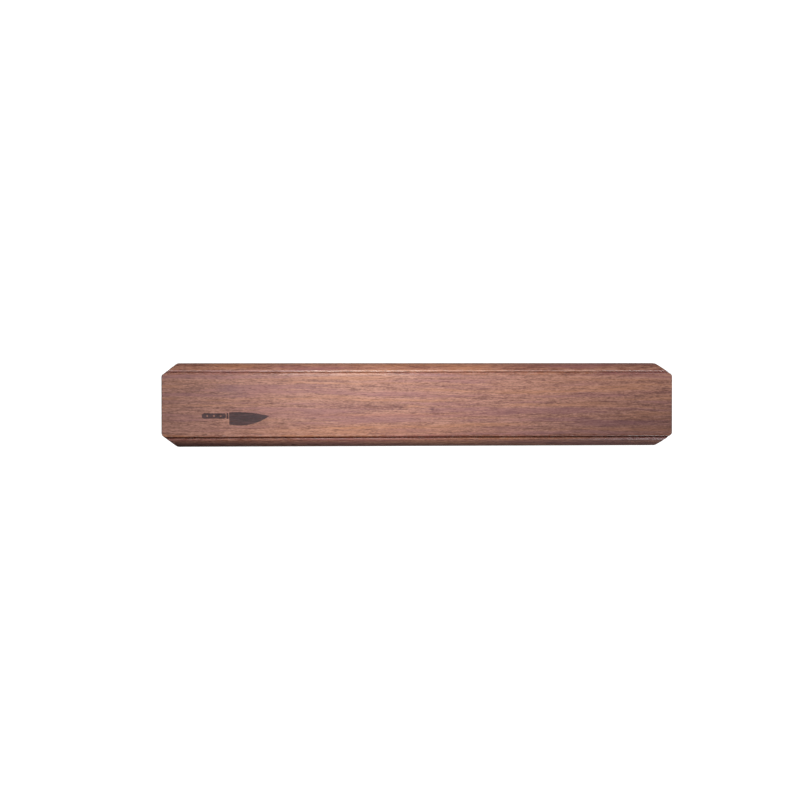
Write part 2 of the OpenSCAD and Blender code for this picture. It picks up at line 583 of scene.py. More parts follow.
def wear_group() -> bpy.types.NodeTree:
    """Makes the scuffs and finger marks that every handled surface has.

    Returns:
        A group that gives a smudge mask and a fine scratch mask.
    """
    outputs = dict.fromkeys(("Smudges", "Scratches"), "Float")
    group = shader_group("handling", {"Millimetres": "Vector"}, outputs)
    sheet = Sheet(group)
    place = sheet.node("NodeGroupInput").outputs[0]
    smudges = sheet.ramp(sheet.noise(place, (14, 14, 10), 3.0, 0.6, 0.8), 0.45, 0.75)
    drawn = sheet.noise(place, (9, 0.12, 0.12))
    crossed = sheet.noise(place, (0.2, 5.0, 4.0))
    scratches = sheet.ramp(sheet.maths("MAXIMUM", drawn, crossed), 0.62, 0.78)
    sheet.node("NodeGroupOutput", {0: smudges, 1: scratches})
    return group


@dataclass(frozen=True)
class Patch:
    """A field that multiplies the walnut's colour: a lens on the face with a frayed edge, in millimetres.
    Most are tones of the wood; some are painted shade and painted light, noted where they are listed.
    """

    x: float
    z: float
    length: float
    height: float
    strength: float
    colour: Colour
    fray: float = 1.1


@dataclass(frozen=True)
class Walnut:
    """Oiled walnut, cut from one plank; colours are linear, heights in millimetres."""

    name: str
    light: Colour = (0.334, 0.160, 0.113)
    mid: Colour = (0.243, 0.106, 0.072)
    dark: Colour = (0.148, 0.056, 0.040)
    warm: Colour = (0.345, 0.150, 0.074)
    violet: Colour = (0.225, 0.092, 0.090)
    pore: Colour = (0.060, 0.022, 0.016)
    shift: Place = (0.0, 0.0, 0.0)
    roughness: float = 0.52
    specular: float = 0.5
    growth_share: float = 0.25
    curl_share: float = 0.12
    band_share: float = 0.08
    pore_share: float = 0.5
    ridge_z: float = 25.6
    burnish: float = 0.0
    # Painted shade: the colour is darkened along the lower groove at groove_z, standing in for the shade
    # that falls into it under the light from above.
    groove_z: float = -25.2
    settled: float = 0.0
    old_oil: Colour = (0.34, 0.24, 0.18)
    grain_depth: float = 0.05 * MM
    curled: Patch | None = None
    patches: tuple[Patch, ...] = ()

    def material(self, timber: bpy.types.NodeTree, handling: bpy.types.NodeTree) -> bpy.types.Material:
        """Makes the material.

        Args:
            timber: The walnut's figure.
            handling: Smudges and scratches.

        Returns:
            The finished material.
        """
        made, sheet = new_material(self.name)
        place = sheet.in_millimetres()
        figure = sheet.node("Group", {0: place, 1: self.shift}, node_tree=timber)
        growth, fibre, bands, curl, pores = figure.outputs

        streaks = sheet.maths("MULTIPLY", fibre, 1 - self.growth_share)
        tone = sheet.maths("MULTIPLY_ADD", growth, self.growth_share, streaks)
        ripple = sheet.maths("MULTIPLY", sheet.maths("SUBTRACT", curl, 0.5), self.curl_share)
        if self.curled:
            ripple = sheet.maths("MULTIPLY", ripple, self.mask(sheet, place, fibre, self.curled))
        tone = sheet.maths("ADD", tone, ripple)
        tone = sheet.maths("MULTIPLY_ADD", sheet.maths("SUBTRACT", bands, 0.5), self.band_share, tone)
        colour = sheet.blend(sheet.ramp(tone, 0.39, 0.505), self.dark, self.mid)
        colour = sheet.blend(sheet.ramp(tone, 0.485, 0.605), colour, self.light)
        colour = sheet.blend(sheet.ramp(bands, 0.52, 0.66, 0.0, 0.5), colour, self.warm)
        colour = sheet.blend(sheet.ramp(bands, 0.50, 0.36, 0.0, 0.6), colour, self.violet)
        # Some of these patches are painted shade and painted light, as noted where they are listed.
        for patch in self.patches:
            mask = self.mask(sheet, place, fibre, patch)
            colour = sheet.blend(mask, colour, patch.colour, "MULTIPLY")
        colour = sheet.blend(sheet.maths("MULTIPLY", pores, self.pore_share), colour, self.pore)

        worn = sheet.node("Group", {0: place}, node_tree=handling)
        gloss = sheet.maths("MULTIPLY_ADD", pores, 0.2, self.roughness)
        gloss = sheet.maths("MULTIPLY_ADD", fibre, 0.14, gloss)
        gloss = sheet.maths("MULTIPLY_ADD", worn.outputs["Smudges"], 0.05, gloss)
        if self.burnish:
            height = sheet.node("SeparateXYZ", {0: place}).outputs[2]
            above_ridge = sheet.maths("SUBTRACT", sheet.maths("ABSOLUTE", height), self.ridge_z)
            from_ridge = sheet.maths("ABSOLUTE", above_ridge)
            gloss = sheet.maths("ADD", gloss, sheet.ramp(from_ridge, 3.0, 2.0, 0.0, -self.burnish))
            # Painted shade: darkens the colour along the lower groove only, where shade falls under the
            # light from above.
            from_groove = sheet.maths("ABSOLUTE", sheet.maths("SUBTRACT", height, self.groove_z))
            shade_in_groove = sheet.ramp(from_groove, 1.1, 0.4, 0.0, self.settled)
            colour = sheet.blend(shade_in_groove, colour, self.old_oil, "MULTIPLY")
        relief = sheet.maths("SUBTRACT", sheet.maths("MULTIPLY", fibre, 0.6), pores)
        sheet.surface(colour, gloss, relief, self.grain_depth, Specular_IOR_Level=self.specular)
        return made

    def mask(self, sheet: Sheet, place: Socket, fibre: Socket, patch: Patch) -> Socket:
        """Makes the mask of one patch.

        Args:
            sheet: The material's sheet.
            place: Object coordinates in millimetres.
            fibre: The fibre pattern, which frays the patch's edge.
            patch: Where it lies and how strong it is.

        Returns:
            The mask.
        """
        middle = (patch.x, 0, patch.z)
        reach = (2 / patch.length, 0, 2 / patch.height)
        apart = sheet.node("VectorMath", {0: place, 1: middle}, operation="SUBTRACT").outputs[0]
        scaled = sheet.node("VectorMath", {0: apart, 1: reach}, operation="MULTIPLY").outputs[0]
        distance = sheet.node("VectorMath", {0: scaled}, operation="LENGTH").outputs["Value"]
        centred = sheet.maths("SUBTRACT", distance, patch.fray / 2)
        frayed = sheet.maths("MULTIPLY_ADD", fibre, patch.fray, centred)
        return sheet.ramp(frayed, 1.1, 0.1, 0.0, patch.strength)


@dataclass(frozen=True)
class Metal:
    """A plated or rolled metal."""

    name: str
    colour: Colour
    tarnish: Colour
    roughness: float
    brushed: float = 0.3
    smudged: float = 0.15
    relief_depth: float = 0.02 * MM

    def material(self, handling: bpy.types.NodeTree) -> bpy.types.Material:
        """Makes the material.

        Args:
            handling: Smudges and scratches.

        Returns:
            The finished material.
        """
        made, sheet = new_material(self.name)
        place = sheet.in_millimetres()
        smudges, scratches = sheet.node("Group", {0: place}, node_tree=handling).outputs
        mottle = sheet.noise(place, (2.2, 2.2, 2.2), 4.0, 0.65)
        dulled = sheet.maths("MULTIPLY_ADD", smudges, 0.35, sheet.ramp(mottle, 0.45, 0.75, 0.0, 0.45))
        colour = sheet.blend(dulled, self.colour, self.tarnish)
        gloss = sheet.maths("MULTIPLY_ADD", smudges, self.smudged, self.roughness)
        gloss = sheet.maths("MULTIPLY_ADD", mottle, 0.12, gloss)
        relief = sheet.maths("MULTIPLY_ADD", scratches, -self.brushed, sheet.maths("MULTIPLY", mottle, 0.3))
        sheet.surface(colour, gloss, relief, self.relief_depth, Metallic=1.0)
        return made


@dataclass(frozen=True)
class Foam:
    """Closed-cell foam with a matt skin."""

    name: str
    colour: Colour = (0.030, 0.030, 0.032)
    bloom: Colour = (0.085, 0.083, 0.080)
    cell: float = 0.45
    cell_depth: float = 0.08 * MM

    def material(self, handling: bpy.types.NodeTree) -> bpy.types.Material:
        """Makes the material.

        Args:
            handling: Smudges and scratches.

        Returns:
            The finished material.
        """
        made, sheet = new_material(self.name)
        place = sheet.in_millimetres()
        links = {"Vector": sheet.stretched(place, (self.cell, self.cell, self.cell)), "Scale": 1.0}
        cells = sheet.node("TexVoronoi", links, feature="F1").outputs["Distance"]
        smudges = sheet.node("Group", {0: place}, node_tree=handling).outputs["Smudges"]
        dusty = sheet.maths("MULTIPLY_ADD", smudges, 0.35, sheet.ramp(cells, 0.2, 0.7, 0.0, 0.35))
        colour = sheet.blend(dusty, self.colour, self.bloom)
        gloss = sheet.ramp(cells, 0.0, 0.8, 0.75, 0.95)
        sheet.surface(colour, gloss, cells, self.cell_depth)
        return made


@dataclass
class Finishes:
    """Every finish of the bar, made once."""

    walnut: bpy.types.Material
    burned: bpy.types.Material
    milled: bpy.types.Material
    panel: bpy.types.Material
    nickel: bpy.types.Material
    steel: bpy.types.Material
    zinc: bpy.types.Material
    bright: bpy.types.Material
    brass: bpy.types.Material
    foam: bpy.types.Material

    @classmethod
    def make(cls) -> "Finishes":
        """Makes all materials and the groups that they share.

        Returns:
            The finishes.
        """
        timber = timber_group()
        handling = wear_group()
        purple = (0.60, 0.47, 0.56)
        grey = (0.84, 0.89, 0.94)
        patches = (
            Patch(-45, -1.8, 100, 5.0, 0.75, purple),
            Patch(-19, -1.2, 24, 3.4, 0.7, purple),
            Patch(13, -5.5, 15, 6.5, 0.8, purple, 2.0),
            Patch(10, -3.0, 5, 5.0, 0.7, purple, 1.4),
            # Partly painted shade: darkens the right end, standing in for the key light's fall-off there as
            # well as the darker, more purple wood at that end.
            Patch(205, -20.0, 450, 74.0, 0.90, (0.58, 0.55, 0.61)),
            Patch(185, 9.5, 90, 4.0, 0.55, purple),
            Patch(180, -13.0, 80, 6.0, 0.55, purple),
            # Painted shade: darkens the left end, standing in for the key light's fall-off towards it.
            Patch(-215, 0.0, 170, 110.0, 0.75, (0.74, 0.73, 0.78)),
            # Painted shade: darkens the bottom moulding at the left, where little light reaches from below.
            Patch(-210, -34.0, 330, 22.0, 0.85, (0.52, 0.42, 0.34)),
            Patch(-146, 12.0, 36, 14.0, 0.7, grey, 1.6),
            # Painted light: makes the lower face warmer than the upper, painting the difference that the
            # lamps' sheen on the upper face makes.
            Patch(-30, -20.0, 290, 16.0, 0.8, (1.06, 0.98, 0.80)),
            Patch(-20, -8.0, 200, 4.0, 0.6, (1.15, 1.05, 0.82)),
        )
        curled = Patch(-98, 10, 110, 46, 1.0, purple)
        # The oiled walnut carries painted shade in its lower groove.
        walnut = Walnut("oiled_walnut", patches=patches, curled=curled, burnish=0.34, settled=0.8)
        burned = Walnut(
            "burned_walnut",
            light=(0.070, 0.034, 0.034),
            mid=(0.048, 0.023, 0.024),
            dark=(0.024, 0.012, 0.013),
            warm=(0.060, 0.028, 0.026),
            violet=(0.042, 0.021, 0.024),
            roughness=0.7,
        )
        milled = Walnut(
            "milled_walnut",
            light=(0.340, 0.190, 0.130),
            mid=(0.260, 0.135, 0.090),
            dark=(0.150, 0.070, 0.048),
            warm=(0.340, 0.180, 0.105),
            violet=(0.220, 0.120, 0.095),
            roughness=0.75,
        )
        panel = Walnut(
            "sanded_walnut",
            light=(0.270, 0.135, 0.090),
            mid=(0.190, 0.090, 0.060),
            dark=(0.095, 0.042, 0.030),
            warm=(0.300, 0.140, 0.075),
            violet=(0.150, 0.075, 0.065),
            shift=(310.0, 22.0, 57.0),
            roughness=0.58,
        )
        return cls(
            walnut=walnut.material(timber, handling),
            burned=burned.material(timber, handling),
            milled=milled.material(timber, handling),
            panel=panel.material(timber, handling),
            nickel=Metal("nickel", (0.66, 0.64, 0.60), (0.42, 0.40, 0.36), 0.20).material(handling),
            steel=Metal("rolled_steel", (0.42, 0.42, 0.43), (0.20, 0.19, 0.18), 0.34).material(handling),
            zinc=Metal("zinc", (0.36, 0.37, 0.39), (0.22, 0.22, 0.23), 0.40).material(handling),
            bright=Metal("bright_zinc", (0.50, 0.50, 0.51), (0.30, 0.30, 0.30), 0.30).material(handling),
            brass=Metal("brass", (0.52, 0.35, 0.14), (0.27, 0.16, 0.07), 0.32).material(handling),
            foam=Foam("foam").material(handling),
        )


# ------------------------------------------------------------------ the bar


@dataclass(frozen=True)
class Screw:
    """A countersunk wood screw with a cross recess."""

    radius: float
    length: float
    head: float
    pitch: float = 1.1 * MM
    slack: float = 0.05 * MM
    core_share: float = 0.68
    sides: int = 32
    recess: float = 1.3 * MM
    recess_width: float = 0.3 * MM
    recess_depth: float = 0.9 * MM
    arris: float = 0.06 * MM

    def hole(self, at: Place, back: float) -> Piece:
        """Makes the cutter for this screw's hole, a countersink that runs on out past the surface.

        Args:
            at: A point on the screw's axis.
            back: Y of the surface that the head is flush with.

        Returns:
            One closed cutter.
        """
        run = self.head - self.radius
        mouth = self.head + self.slack + OVERRUN
        near = self.radius + self.slack
        cutter = rod("hole", at, near, back - run, back + OVERRUN, mouth, self.sides)
        choose(cutter, "FACE", lambda face: face.normal.y < -0.9)
        extrude(0, run - self.length - self.slack, 0)
        close_edit()
        face_out(cutter)
        return cutter

    def build(self, name: str, back: float) -> Piece:
        """Models the screw on the Y axis, its head flush with a surface and its point into the wood.

        Args:
            name: The piece's name.
            back: Y of the surface.

        Returns:
            The screw.
        """
        core = self.core_share * self.radius
        run = self.head - self.radius
        tip = 2 * self.radius
        end = back - self.length
        screw = rod(name, (0, 0, 0), self.radius, back - run, back, self.head, self.sides)
        choose(screw, "FACE", lambda face: face.normal.y < -0.9)
        bpy.ops.mesh.inset(thickness=CLOSE, depth=0)
        extrude(0, -run, 0)
        bpy.ops.mesh.inset(thickness=self.radius - core, depth=0)
        extrude(0, end + tip - back + 2 * run, 0)
        extrude(0, -tip, 0)
        bpy.ops.mesh.merge(type="CENTER")
        close_edit()
        face_out(screw)
        bottom, top = back - self.recess_depth, back + OVERRUN
        slots = [
            block("slot", (-x, bottom, -z), (x, top, z))
            for x, z in ((self.recess, self.recess_width), (self.recess_width, self.recess))
        ]
        shape(screw, slots, Cut.AWAY)
        ease(screw, self.arris, 2, 50)
        thread = self.thread(back - 2 * run, end + tip, core)
        take(thread)
        screw.select_set(True)
        bpy.context.view_layer.objects.active = screw
        bpy.ops.object.join()
        polish(screw)
        return screw

    def thread(self, start: float, end: float, core: float) -> Piece:
        """Winds the thread that stands on the screw's core.

        Args:
            start: Y where it starts.
            end: Y where it ends.
            core: Radius of the core.

        Returns:
            The thread, a closed ridge.
        """
        deselect()
        rise = 0.3 * self.pitch
        bpy.ops.mesh.primitive_circle_add(vertices=3, radius=rise, fill_type="NGON",
                                          location=(core, start, 0), rotation=(0, 0, 0))
        ridge = bpy.context.object
        ridge.name = "thread"
        settle(ridge)
        tip_x = max(vert.co.x for vert in ridge.data.vertices)
        for vert in ridge.data.vertices:
            vert.co.x = self.radius if abs(vert.co.x - tip_x) < CLOSE else 0.8 * core
        turns = (start - end) / self.pitch
        steps = 14
        choose(ridge, "FACE")
        for _ in range(round(turns * steps)):
            extrude(0, -self.pitch / steps, 0)
            bpy.ops.transform.rotate(value=math.tau / steps, orient_axis="Y", center_override=(0, 0, 0))
        close_edit()
        face_out(ridge)
        return ridge


PANEL_SCREW = Screw(radius=1.25 * MM, length=12 * MM, head=2.3125 * MM)
PLATE_SCREW = Screw(radius=1.4 * MM, length=9 * MM, head=2.59 * MM)


@dataclass
class Fixings:
    """Where the screws and keyholes lie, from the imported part."""

    back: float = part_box("front_bar")[1][1]
    panel_places: list[Place] = field(default_factory=list)
    plate_places: list[Place] = field(default_factory=list)
    entries: dict[Side, Place] = field(default_factory=dict)
    entry_radius: float = 0.0
    seat_rise: float = 6.5 * MM
    head_gap: float = 0.25 * MM
    head_room: float = 8 * MM

    def __post_init__(self) -> None:
        """Reads the places from the nodes and mounts."""
        low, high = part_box("panel_screws")
        inset = PANEL_SCREW.head
        for step in (0, 1, 2, 3):
            x = low[0] + inset + step * (high[0] - low[0] - 2 * inset) / 3
            self.panel_places += [(x, 0, low[2] + inset), (x, 0, high[2] - inset)]
        mounts = {mount["name"]: mount for mount in frame["record"]["mounts"]}
        for side in Side:
            mount = mounts[f"keyhole_{side.word}"]
            self.entries[side] = tuple(mount["pos_m"])
            self.entry_radius = mount["dims"]["r_mm"] * MM
            plate = Box.of(f"keyhole_plate_{side.word}")
            room = self.entry_radius + self.head_gap
            out = (plate.size[0] / 2 + room) / 2
            self.plate_places += [(plate.middle[0] - out, 0, 0), (plate.middle[0] + out, 0, 0)]

    def head_rooms(self) -> list[Piece]:
        """Makes the cutters for the room behind both keyholes.

        Returns:
            Two closed cutters.
        """
        radius = self.entry_radius + self.head_gap
        cutters = []
        for side, entry in self.entries.items():
            height = self.seat_rise + 2 * radius
            middle = (entry[0], 0, entry[2] + self.seat_rise / 2)
            near = self.back - self.head_room
            name = f"room_{side.word}"
            cutters.append(outline_plate(name, middle, 2 * radius, height, near, self.back + OVERRUN,
                                         radius - CLOSE, 16))
        return cutters

    def open_up(self, piece: Piece, back: float) -> None:
        """Cuts the rooms for the wall screws' heads and every screw hole.

        Args:
            piece: The bar or the panel.
            back: Y of the piece's outer side.
        """
        shape(piece, self.head_rooms(), Cut.AWAY)
        holes = [PANEL_SCREW.hole(at, back) for at in self.panel_places]
        holes += [PLATE_SCREW.hole(at, back) for at in self.plate_places]
        shape(piece, holes, Cut.AWAY)


@dataclass
class SubAssembly:
    """A part of the bar, which is given the places of the fixings and all finishes."""

    fixings: Fixings
    finishes: Finishes


@dataclass
class WoodenBar(SubAssembly):
    """The walnut bar: moulded along its edges, cut at its corners and hollowed from behind."""

    round_width: float = 6.6 * MM
    bead_radius: float = 2.8 * MM
    flank_angle: float = math.radians(40)
    crest_drop: float = 0.2 * MM
    groove_width: float = 1.2 * MM
    quirk_width: float = 0.5 * MM
    groove_depth: float = 1.2 * MM
    corner_length: float = 12.5 * MM
    corner_height: float = 9.3 * MM
    corner_softness: float = 1.3 * MM
    arris: float = 0.5 * MM
    least_arris: float = math.radians(42)
    face_softness: float = 1.0 * MM
    crest_softness: float = 0.2 * MM
    skin: float = 2.5 * MM
    slot_gap: float = 0.2 * MM
    panel_gap: float = 0.15 * MM
    panel_radius: float = 6 * MM
    rebate_depth: float = 4 * MM
    rim: float = 4 * MM
    end_wood: float = 12 * MM

    def build(self) -> None:
        """Models the bar and dresses it."""
        low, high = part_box("front_bar")
        self.front, self.back = low[1], high[1]
        self.end, self.top = high[0], high[2]
        bar = self.moulded_length()
        shape(bar, [self.corner_outline()], Cut.COMMON)
        self.soften_ends(bar)
        self.soften_moulding(bar)
        shape(bar, self.hollows(), Cut.AWAY)
        self.fixings.open_up(bar, self.back)
        shape(bar, BurnedMark().cutters(self.front), Cut.AWAY)
        face_out(bar)
        # The arrises turn 30 degrees at each step, so the angle is kept clear of that.
        polish(bar, 31)
        self.dress(bar)

    def moulded_length(self) -> Piece:
        """Runs the moulded section along the bar, past both ends.

        Returns:
            The moulded length.
        """
        crest_y = self.front + self.crest_drop
        crest_z = self.top - self.round_width
        root_z = crest_z - self.quirk_width
        face_z = crest_z - self.groove_width
        deselect()
        bpy.ops.mesh.primitive_plane_add(size=1, rotation=(0, math.pi / 2, 0))
        bar = bpy.context.object
        bar.name = "walnut_bar"
        bar.location = (-self.end - OVERRUN, (crest_y + self.back) / 2, 0)
        bar.scale = (2 * crest_z, self.back - crest_y, 1)
        settle(bar)
        for side in Row:
            self.turn_moulding(bar, side.value, crest_y, crest_z)
        for z in (root_z, face_z, -face_z, -root_z):
            choose(bar, "FACE")
            bpy.ops.mesh.bisect(plane_co=(0, 0, z), plane_no=(0, 0, 1))
            close_edit()
        flat = crest_y + CLOSE
        choose(bar, "VERT", lambda vert: vert.co.y < flat and abs(vert.co.z) < face_z + CLOSE)
        bpy.ops.transform.translate(value=(0, -self.crest_drop, 0))
        close_edit()
        choose(bar, "VERT", lambda vert: vert.co.y < flat and abs(abs(vert.co.z) - root_z) < CLOSE)
        bpy.ops.transform.translate(value=(0, self.groove_depth - self.crest_drop, 0))
        close_edit()
        choose(bar, "FACE")
        extrude(2 * self.end + 2 * OVERRUN, 0, 0)
        close_edit()
        face_out(bar)
        return bar

    def soften_moulding(self, bar: Piece) -> None:
        """Rounds the bead's sharp side and the face's edge along each groove.

        Args:
            bar: The bar, with its ends already softened.
        """
        crest_z = self.top - self.round_width
        lines = (
            (crest_z, self.front + self.crest_drop, self.crest_softness),
            (crest_z - self.groove_width, self.front, self.face_softness),
        )
        for z, y, width in lines:
            found = choose(bar, "EDGE", lambda edge, z=z, y=y: self.runs_along(edge, z, y))
            round_off(width, 5)
            close_edit()
            log.info("softened %d long edges at z %.1f mm", found, z / MM)

    def runs_along(self, edge: bmesh.types.BMEdge, z: float, y: float) -> bool:
        """Says whether an edge runs along the bar at this height and depth.

        Args:
            edge: An edge of the bar.
            z: Height above or below the middle.
            y: Depth.

        Returns:
            Whether it is one of the moulding's long edges.
        """
        one, other = (vert.co for vert in edge.verts)
        on_line = all(abs(abs(end.z) - z) < CLOSE and abs(end.y - y) < CLOSE for end in (one, other))
        return on_line and abs(one.x - other.x) > self.end

    def turn_moulding(self, section: Piece, side: int, crest_y: float, crest_z: float) -> None:
        """Turns one edge of the section's moulding: the bead, then the wide flank, then the straight side.

        Args:
            section: The section, a flat face as high as the two crests.
            side: The sign of the edge's Z.
            crest_y: Depth of the bead's crest.
            crest_z: Height of the bead's crest.
        """
        sine, cosine = math.sin(self.flank_angle), math.cos(self.flank_angle)
        flank = (self.round_width - self.bead_radius * sine) / (1 - sine)
        bead_y = crest_y + self.bead_radius
        flank_y = bead_y + (flank - self.bead_radius) * cosine
        start = -self.end - OVERRUN
        turns = (
            (bead_y, crest_z, self.flank_angle, 6),
            (flank_y, self.top - flank, math.pi / 2 - self.flank_angle, 14),
        )
        flat = crest_y + CLOSE
        choose(section, "VERT", lambda vert: vert.co.y < flat and abs(vert.co.z - side * crest_z) < CLOSE)
        for centre_y, centre_z, angle, steps in turns:
            bpy.ops.mesh.spin(steps=steps, angle=side * angle, center=(start, centre_y, side * centre_z),
                              axis=(1, 0, 0), use_auto_merge=False, use_normal_flip=False)
        extrude(0, self.back - flank_y, 0)
        close_edit()
        choose(section, "VERT", lambda vert: side * vert.co.z > crest_z - CLOSE)
        bpy.ops.mesh.edge_face_add()
        close_edit()
        log.info("moulding on side %d: flank radius %.2f mm", side, flank / MM)

    def corner_outline(self) -> Piece:
        """Makes the bar's outline from the front, with softened corner cuts.

        Returns:
            A closed plate that is thicker than the bar.
        """
        deselect()
        facing = (math.pi / 2, 0, 0)
        bpy.ops.mesh.primitive_plane_add(size=1, location=(0, self.front - OVERRUN, 0), rotation=facing)
        plate = bpy.context.object
        plate.name = "outline"
        plate.scale = (2 * self.end, 2 * self.top, 1)
        settle(plate)
        choose(plate, "FACE")
        for x in (-1, 1):
            for z in (-1, 1):
                on_cut = (x * self.end, 0, z * (self.top - self.corner_height))
                outwards = (x * self.corner_height, 0, z * self.corner_length)
                bpy.ops.mesh.select_all(action="SELECT")
                bpy.ops.mesh.bisect(plane_co=on_cut, plane_no=outwards, clear_outer=True)
        close_edit()
        choose(plate, "VERT")
        round_off(self.corner_softness, 5, "VERTICES")
        choose(plate, "FACE")
        extrude(0, self.back - self.front + 2 * OVERRUN, 0)
        close_edit()
        face_out(plate)
        return plate

    def soften_ends(self, bar: Piece) -> None:
        """Rounds the arrises that run round both ends and round the back.

        Args:
            bar: The bar, before it is hollowed.
        """

        def arris(edge: bmesh.types.BMEdge) -> bool:
            """Says whether an edge bounds an end, a corner cut or the back.

            Args:
                edge: An edge of the bar.

            Returns:
                Whether it is softened.
            """
            if len(edge.link_faces) != 2 or edge.calc_face_angle(0) < self.least_arris:
                return False
            normals = [face.normal for face in edge.link_faces]
            end_faces = [abs(normal.x) > 0.05 and abs(normal.y) < 0.02 for normal in normals]
            back_faces = [normal.y > 0.9 for normal in normals]
            return end_faces[0] != end_faces[1] or back_faces[0] != back_faces[1]

        choose(bar, "FACE")
        bpy.ops.mesh.dissolve_limited(angle_limit=math.radians(0.5))
        close_edit()
        found = choose(bar, "EDGE", arris)
        round_off(self.arris, 3)
        close_edit()
        log.info("softened %d edges round the ends and back", found)

    def hollows(self) -> list[Piece]:
        """Makes the cutters for the panel's rebate and the two magnet slots.

        Returns:
            Three closed cutters.
        """
        panel = Box.of("back_panel").size
        length, height = (panel[axis] + 2 * self.panel_gap for axis in (0, 2))
        cutters = [outline_plate("rebate", (0, 0, 0), length, height, self.back - self.rebate_depth,
                                 self.back + OVERRUN, self.panel_radius)]
        for row in Row:
            strip = Box.of(f"yoke_{row.word}")
            height = strip.size[2] + 2 * self.slot_gap
            length = strip.size[0] + 2 * self.slot_gap + height
            cutters.append(outline_plate(f"slot_{row.word}", (0, 0, strip.middle[2]), length, height,
                                         self.front + self.skin, self.back, height / 2 - CLOSE, 12))
        return cutters

    def dress(self, bar: Piece) -> None:
        """Oils the outside, leaves the hollows as milled and burns the mark.

        Args:
            bar: The finished bar.
        """
        for finish in (self.finishes.walnut, self.finishes.milled, self.finishes.burned):
            bar.data.materials.append(finish)
        mark_floor = self.front + BurnedMark.depth
        for face in bar.data.polygons:
            x, y, z = face.center
            within = abs(z) < self.top - self.rim and abs(x) < self.end - self.end_wood
            hollowed = within and self.front + self.groove_depth < y < self.back - CLOSE
            burned = self.front + CLOSE < y < mark_floor + CLOSE and BurnedMark.holds(x, z)
            face.material_index = 2 if burned else 1 if hollowed else 0
        hand_over(bar, "walnut", "front_bar")


@dataclass
class BurnedMark:
    """A small burned mark on the face: the outline of a kitchen knife, lying level."""

    depth: float = 0.25 * MM
    left: float = -169 * MM
    right: float = -117 * MM
    middle: float = -10.5 * MM
    tall: float = 6.5 * MM
    handle_length: float = 18.4 * MM
    handle_height: float = 4.2 * MM
    handle_rise: float = 2.2 * MM
    bolster_length: float = 1.3 * MM
    bolster_height: float = 4.6 * MM
    rivet_radius: float = 0.75 * MM
    blade_start: float = 21 * MM
    blade_half: float = 5.2 * MM
    belly_radius: float = 40.2 * MM
    spine_radius: float = 100 * MM

    @classmethod
    def holds(cls, x: float, z: float) -> bool:
        """Says whether a point of the face lies in the mark's field."""
        return cls.left - MM < x < cls.right + MM and abs(z - cls.middle) < cls.tall

    def cutters(self, front: float) -> list[Piece]:
        """Makes the shallow cutters for the blade, the bolster and the handle.

        Args:
            front: Y of the bar's face.

        Returns:
            Closed cutters.
        """
        near, far = front - OVERRUN, front + self.depth
        heel = self.left + self.blade_start
        half = self.blade_half
        length = self.right - heel
        middle = ((heel + self.right) / 2, 0, self.middle)
        blade = outline_plate("blade", middle, length, 2 * half, near, far)
        belly = (heel + 8 * MM, 0, self.middle - half + self.belly_radius)
        spine = (heel + 6 * MM, 0, self.middle + half - self.spine_radius)
        arcs = [
            rod("belly", belly, self.belly_radius, near, far, sides=256),
            rod("spine", spine, self.spine_radius, near, far, sides=512),
        ]
        shape(blade, arcs, Cut.COMMON)
        grip = self.middle + self.handle_rise
        neck = (heel - 1.4 * MM, 0, grip)
        hold = (self.left + self.handle_length / 2, 0, grip)
        bolster = outline_plate("bolster", neck, self.bolster_length, self.bolster_height, near, far,
                                0.3 * MM, 3)
        handle = outline_plate("handle", hold, self.handle_length, self.handle_height, near, far,
                               1.5 * MM, 6)
        rivets = [
            rod("rivet", (self.left + step * MM, 0, grip), self.rivet_radius, near - OVERRUN, far + OVERRUN)
            for step in (4.0, 9.2, 14.4)
        ]
        shape(handle, rivets, Cut.AWAY)
        return [blade, bolster, handle]


@dataclass
class BackPanel(SubAssembly):
    """The walnut panel that closes the back, with the ribs that press the strips home."""

    thickness: float = 4 * MM
    plate_depth: float = 2 * MM
    radius: float = 5.85 * MM
    plate_gap: float = 0.1 * MM
    plate_radius: float = 3 * MM
    arris: float = 0.2 * MM

    def build(self) -> None:
        """Models the panel and leaves it sanded."""
        board = Box.of("back_panel")
        back = board.high[1]
        panel = outline_plate("panel_board", (0, 0, 0), board.size[0], board.size[2],
                              back - self.thickness, back, self.radius)
        for row in Row:
            low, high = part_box(f"yoke_{row.word}")
            rib = block("rib", (low[0], high[1], low[2]), (high[0], back - self.thickness / 2, high[2]))
            shape(panel, [rib], Cut.JOIN)
        for side in Side:
            plate = Box.of(f"keyhole_plate_{side.word}")
            length, height = (plate.size[axis] + 2 * self.plate_gap for axis in (0, 2))
            recess = outline_plate("recess", (plate.middle[0], 0, 0), length, height,
                                   back - self.plate_depth, back + OVERRUN, self.plate_radius, 6)
            shape(panel, [recess], Cut.AWAY)
        self.fixings.open_up(panel, back)
        face_out(panel)
        self.soften_back(panel, back)
        polish(panel)
        panel.data.materials.append(self.finishes.panel)
        hand_over(panel, "walnut_panel", "back_panel")

    def soften_back(self, panel: Piece, back: float) -> None:
        """Rounds the edges that bound the panel's outer side; its inner side is never seen.

        Args:
            panel: The panel, fully cut.
            back: Y of its outer side.
        """

        def outer(edge: bmesh.types.BMEdge) -> bool:
            """Says whether an edge is sharp and lies on the outer side."""
            level = all(abs(vert.co.y - back) < CLOSE for vert in edge.verts)
            return level and len(edge.link_faces) == 2 and edge.calc_face_angle(0) > math.radians(35)

        choose(panel, "EDGE", outer)
        round_off(self.arris, 2, clamp=True)
        close_edit()


